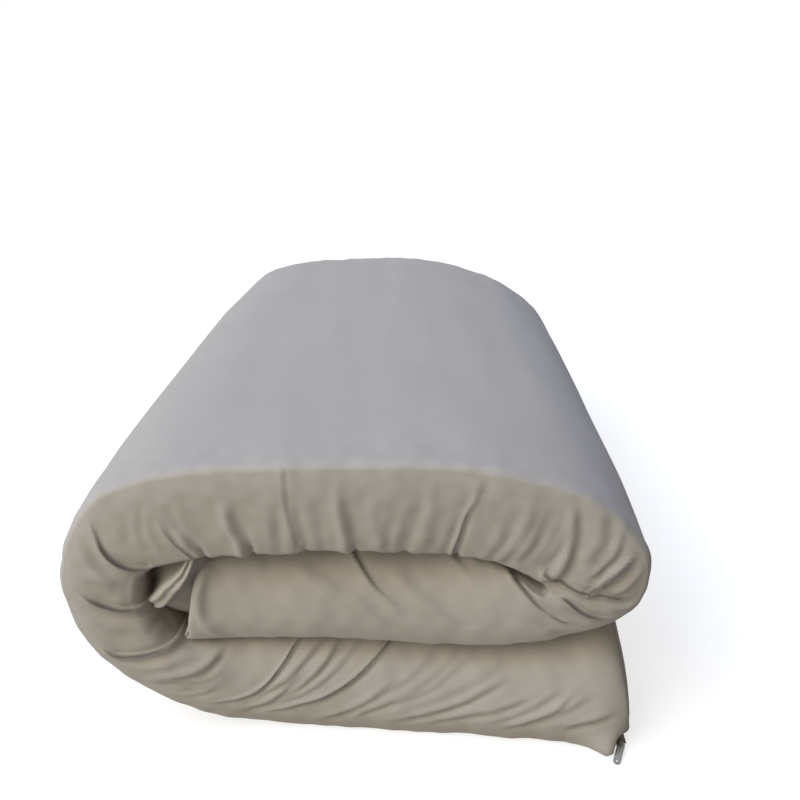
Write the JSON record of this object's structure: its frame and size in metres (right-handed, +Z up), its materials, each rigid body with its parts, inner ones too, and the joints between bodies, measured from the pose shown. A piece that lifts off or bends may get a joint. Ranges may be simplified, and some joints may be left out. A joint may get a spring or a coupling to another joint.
{
  "type": "rolled floor mattress",
  "caption": "Foam floor mattress in a zipped cloth cover, rolled up in flat layers with a hollow in its left turn and a zip pull at one corner.",
  "frame": {"origin": "middle of the roll's bounding box, on the floor", "axes": "+Z up, +Y along the mattress's width away from the end with the zip slider, +X across the roll towards the outer end of the mattress"},
  "size_m": [0.687, 1.066, 0.3783],
  "materials": {
    "cover_cloth": "matt knitted jacquard, greige, with a fine raised dot and ring figure",
    "zip_tape": "woven zip tape with a nylon coil",
    "zip_metal": "satin grey-green lacquer on zinc"
  },
  "bodies": {
    "root": {"mattress": "cover_cloth", "zip_chain": "zip_tape", "zip_slider": "zip_metal", "zip_pull": "zip_metal"}
  },
  "joints": []
}
